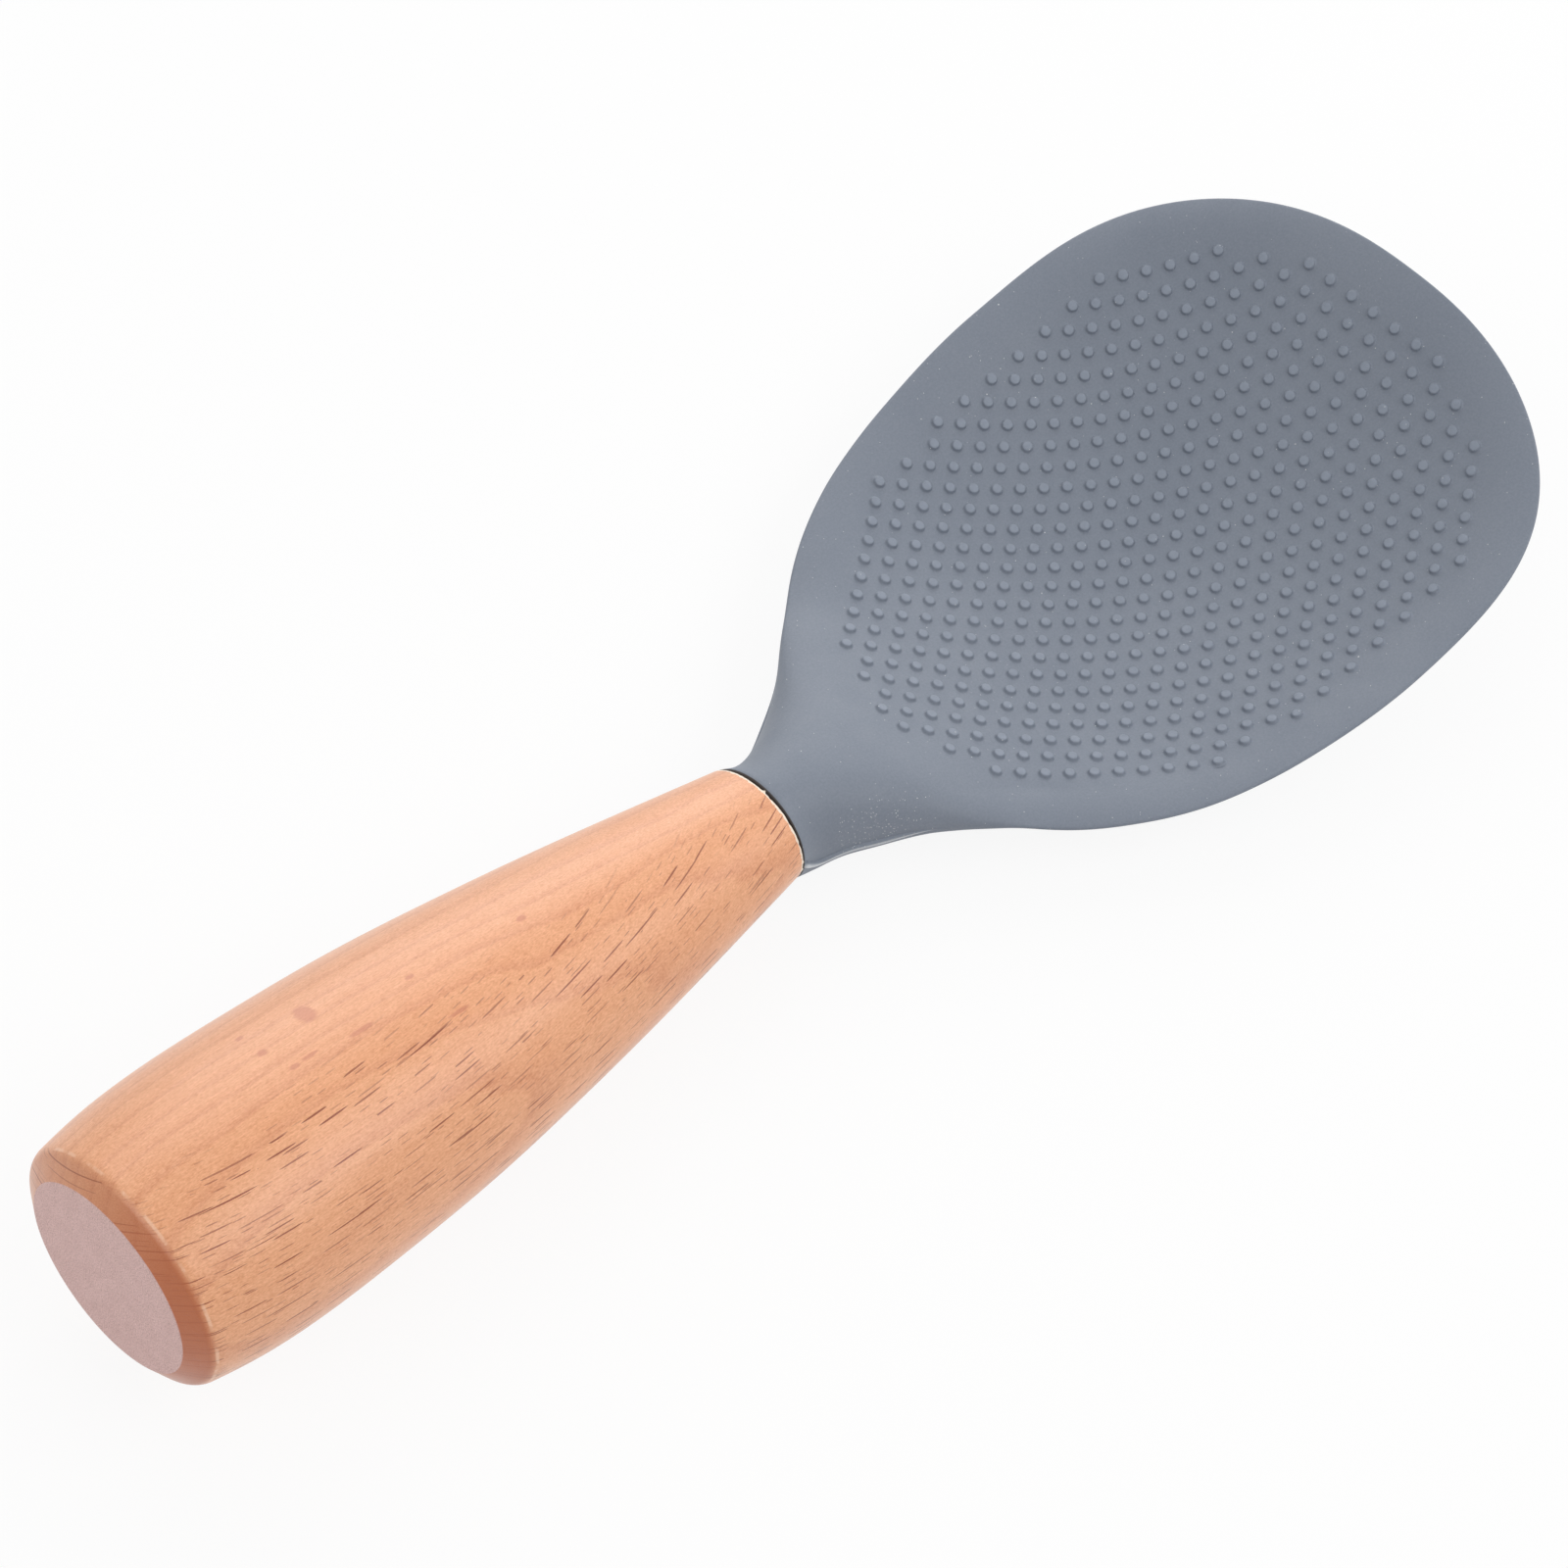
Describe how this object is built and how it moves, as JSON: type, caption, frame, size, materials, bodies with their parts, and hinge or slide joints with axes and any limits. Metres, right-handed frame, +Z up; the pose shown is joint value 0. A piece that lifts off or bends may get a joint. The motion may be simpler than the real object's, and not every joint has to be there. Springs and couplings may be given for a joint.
{
  "type": "rice paddle",
  "caption": "Rice paddle with a broad dished silicone blade covered in small round bumps, moulded over a stiff core, and a thick oval beech handle.",
  "frame": {"origin": "centre of the bounding box's bottom face, on the surface the paddle lies on with its dished face up", "axes": "+X from the handle's butt towards the blade's tip, +Y across the blade, +Z up out of the dish"},
  "size_m": [0.2155, 0.0784, 0.0318],
  "materials": {
    "beech": "satin lacquer over straight-grained beech",
    "silicone": "matte slate-grey silicone",
    "core_plastic": "plain moulded nylon",
    "cured_glue": "clear amber cured adhesive"
  },
  "bodies": {
    "root": {"beech_handle": "beech", "silicone_head": "silicone", "core_with_tang": "core_plastic", "glue_film": "cured_glue"}
  },
  "joints": []
}
